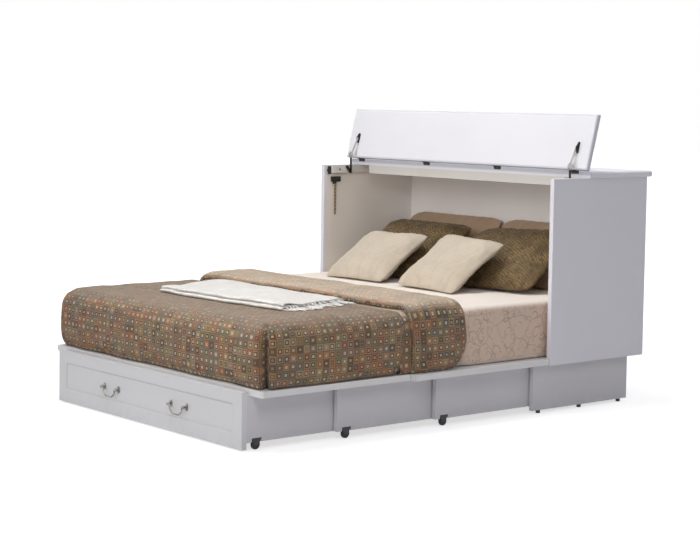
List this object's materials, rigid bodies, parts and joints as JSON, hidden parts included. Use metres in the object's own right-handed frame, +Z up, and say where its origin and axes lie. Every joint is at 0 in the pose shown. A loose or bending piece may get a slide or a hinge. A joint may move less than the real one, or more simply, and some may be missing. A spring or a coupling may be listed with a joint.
{
  "type": "cabinet bed",
  "caption": "Cabinet bed opened for sleeping: fold-out boards on a telescoping caster base with a drawer, lift-up top on folding stays, made up with bedding.",
  "frame": {"origin": "bottom centre of the bounding box at the rest pose, on the floor under the middle of the opened bed", "axes": "+Z up, +Y towards the cabinet at the head, -Y towards the foot and its drawer, +X to the right of someone standing at the foot and facing the cabinet"},
  "size_m": [1.638, 2.2232, 1.3049],
  "materials": {
    "white_board": "satin white",
    "white_laminate": "satin",
    "white_edge": "satin",
    "drawer_board": "birch ply, lacquered",
    "black_iron": "satin black",
    "nickel": "brushed",
    "zinc": "bright zinc",
    "pewter": "aged",
    "bronze_chain": "dark bronze",
    "black_plastic": "matt",
    "wheel_rubber": "matt",
    "coverlet_weave": "woven squares",
    "sheet_weave": "printed cotton",
    "throw_weave": "open weave",
    "cream_linen": "linen",
    "gold_brocade": "brocade",
    "brown_satin": "satin"
  },
  "bodies": {
    "cabinet": {"side_panel_left": "white_laminate", "side_panel_right": "white_laminate", "back_panel": "white_laminate", "cabinet_floor": "white_board", "fixed_top": "white_laminate", "top_battens": "white_board", "base_sides": "white_edge", "base_rear_board": "white_edge", "base_glides": "black_plastic", "lid_hinge_top_leaves": "black_iron", "floor_hinge_leaves": "zinc", "stay_brackets": "pewter", "panel_catches": "black_plastic", "chain_housing": "black_plastic", "mattress": "sheet_weave", "coverlet": "coverlet_weave", "coverlet_turndown": "coverlet_weave", "throw_blanket": "throw_weave", "pillow_cream_left": "cream_linen", "pillow_cream_right": "cream_linen", "pillow_gold_left": "gold_brocade", "pillow_gold_right": "gold_brocade", "pillow_brown_left": "brown_satin", "pillow_brown_right": "brown_satin"},
    "lid": {"lid_panel": "white_laminate", "lid_hinge_lid_leaves": "black_iron", "lid_brackets": "pewter", "stay_rods": "nickel"},
    "stay_lower_arm_left": {"stay_lower_arm_left": "nickel"},
    "stay_lower_arm_right": {"stay_lower_arm_right": "nickel"},
    "stay_upper_arm_left": {"stay_upper_arm_left": "nickel"},
    "stay_upper_arm_right": {"stay_upper_arm_right": "nickel"},
    "chain": {"hanging_chain": "bronze_chain"},
    "front_panel": {"front_panel": "white_laminate", "front_panel_hinge_leaves": "zinc"},
    "foot_panel": {"foot_panel": "white_board", "foot_panel_hinge_leaves": "zinc"},
    "rear_section": {"rear_section_sides": "white_edge", "rear_section_rear_board": "white_edge", "rear_caster_forks": "black_plastic"},
    "middle_section": {"middle_section_sides": "white_edge", "middle_section_rear_board": "white_edge", "middle_caster_forks": "black_plastic"},
    "front_section": {"front_section_sides": "white_edge", "front_section_rear_board": "white_edge", "front_caster_forks": "black_plastic", "runner_channels": "zinc"},
    "drawer": {"drawer_front": "white_laminate", "drawer_box": "drawer_board", "drawer_floor": "drawer_board", "runner_bars": "zinc", "pull_posts": "pewter"},
    "bail_left": {"bail_left": "pewter"},
    "bail_right": {"bail_right": "pewter"},
    "rear_wheel_left": {"rear_wheel_left": "wheel_rubber"},
    "rear_wheel_right": {"rear_wheel_right": "wheel_rubber"},
    "middle_wheel_left": {"middle_wheel_left": "wheel_rubber"},
    "middle_wheel_right": {"middle_wheel_right": "wheel_rubber"},
    "front_wheel_left": {"front_wheel_left": "wheel_rubber"},
    "front_wheel_right": {"front_wheel_right": "wheel_rubber"}
  },
  "joints": [
    {"name": "lid_hinge", "type": "hinge", "parent": "cabinet", "child": "lid", "pos_m": [0, 0.70265, 1.055], "axis": [1, 0, 0], "range_deg": [0, 105]},
    {"name": "stay_lower_left", "type": "hinge", "parent": "cabinet", "child": "stay_lower_arm_left", "pos_m": [-0.7465, 0.64965, 0.99], "axis": [1, 0, 0], "range_deg": [0, 141.86]},
    {"name": "stay_upper_left", "type": "hinge", "parent": "lid", "child": "stay_upper_arm_left", "pos_m": [-0.743, 0.68893, 1.1622], "axis": [1, 0, 0], "range_deg": [-84.16, 0]},
    {"name": "stay_lower_right", "type": "hinge", "parent": "cabinet", "child": "stay_lower_arm_right", "pos_m": [0.7465, 0.64965, 0.99], "axis": [1, 0, 0], "range_deg": [0, 141.86]},
    {"name": "stay_upper_right", "type": "hinge", "parent": "lid", "child": "stay_upper_arm_right", "pos_m": [0.743, 0.68893, 1.1622], "axis": [1, 0, 0], "range_deg": [-84.16, 0]},
    {"name": "chain_swing", "type": "hinge", "parent": "cabinet", "child": "chain", "pos_m": [-0.766, 0.56465, 0.936], "axis": [1, 0, 0], "range_deg": [-30, 40]},
    {"name": "front_panel_raise", "type": "hinge", "parent": "cabinet", "child": "front_panel", "pos_m": [0, 0.49305, 0.2376], "axis": [-1, 0, 0], "range_deg": [0, 90], "deforming": ["mattress", "coverlet", "coverlet_turndown", "throw_blanket", "pillow_cream_left", "pillow_cream_right", "pillow_gold_left", "pillow_gold_right", "pillow_brown_left", "pillow_brown_right"]},
    {"name": "foot_panel_fold", "type": "hinge", "parent": "front_panel", "child": "foot_panel", "pos_m": [0, -0.29055, 0.2415], "axis": [-1, 0, 0], "range_deg": [0, 180]},
    {"name": "rear_section_slide", "type": "slide", "parent": "cabinet", "child": "rear_section", "axis": [0, 1, 0], "range_m": [0, 0.5524]},
    {"name": "middle_section_slide", "type": "slide", "parent": "rear_section", "child": "middle_section", "axis": [0, 1, 0], "range_m": [0, 0.5124]},
    {"name": "front_section_slide", "type": "slide", "parent": "middle_section", "child": "front_section", "axis": [0, 1, 0], "range_m": [0, 0.4583]},
    {"name": "rear_wheel_left_spin", "type": "hinge", "parent": "rear_section", "child": "rear_wheel_left", "pos_m": [-0.724, -0.07035, 0.02], "axis": [1, 0, 0], "continuous": true},
    {"name": "rear_wheel_right_spin", "type": "hinge", "parent": "rear_section", "child": "rear_wheel_right", "pos_m": [0.724, -0.07035, 0.02], "axis": [1, 0, 0], "continuous": true},
    {"name": "middle_wheel_left_spin", "type": "hinge", "parent": "middle_section", "child": "middle_wheel_left", "pos_m": [-0.698, -0.58235, 0.02], "axis": [1, 0, 0], "continuous": true},
    {"name": "middle_wheel_right_spin", "type": "hinge", "parent": "middle_section", "child": "middle_wheel_right", "pos_m": [0.698, -0.58235, 0.02], "axis": [1, 0, 0], "continuous": true},
    {"name": "front_wheel_left_spin", "type": "hinge", "parent": "front_section", "child": "front_wheel_left", "pos_m": [-0.672, -1.01625, 0.02], "axis": [1, 0, 0], "continuous": true},
    {"name": "front_wheel_right_spin", "type": "hinge", "parent": "front_section", "child": "front_wheel_right", "pos_m": [0.672, -1.01625, 0.02], "axis": [1, 0, 0], "continuous": true},
    {"name": "drawer_slide", "type": "slide", "parent": "front_section", "child": "drawer", "axis": [0, -1, 0], "range_m": [0, 0.38]},
    {"name": "bail_left_swing", "type": "hinge", "parent": "drawer", "child": "bail_left", "pos_m": [-0.252, -1.10405, 0.119], "axis": [-1, 0, 0], "range_deg": [-15, 85]},
    {"name": "bail_right_swing", "type": "hinge", "parent": "drawer", "child": "bail_right", "pos_m": [0.252, -1.10405, 0.119], "axis": [-1, 0, 0], "range_deg": [-15, 85]}
  ],
  "couplings": [
    {"joint": "stay_lower_left", "follows": "lid_hinge", "ratio": 1.3415},
    {"joint": "stay_upper_left", "follows": "lid_hinge", "ratio": -0.79202},
    {"joint": "stay_lower_right", "follows": "lid_hinge", "ratio": 1.3415},
    {"joint": "stay_upper_right", "follows": "lid_hinge", "ratio": -0.79202},
    {"joint": "rear_section_slide", "follows": "front_panel_raise", "m_per_rad": 0.35141},
    {"joint": "middle_section_slide", "follows": "front_panel_raise", "m_per_rad": 0.32595},
    {"joint": "front_section_slide", "follows": "front_panel_raise", "m_per_rad": 0.29151}
  ]
}
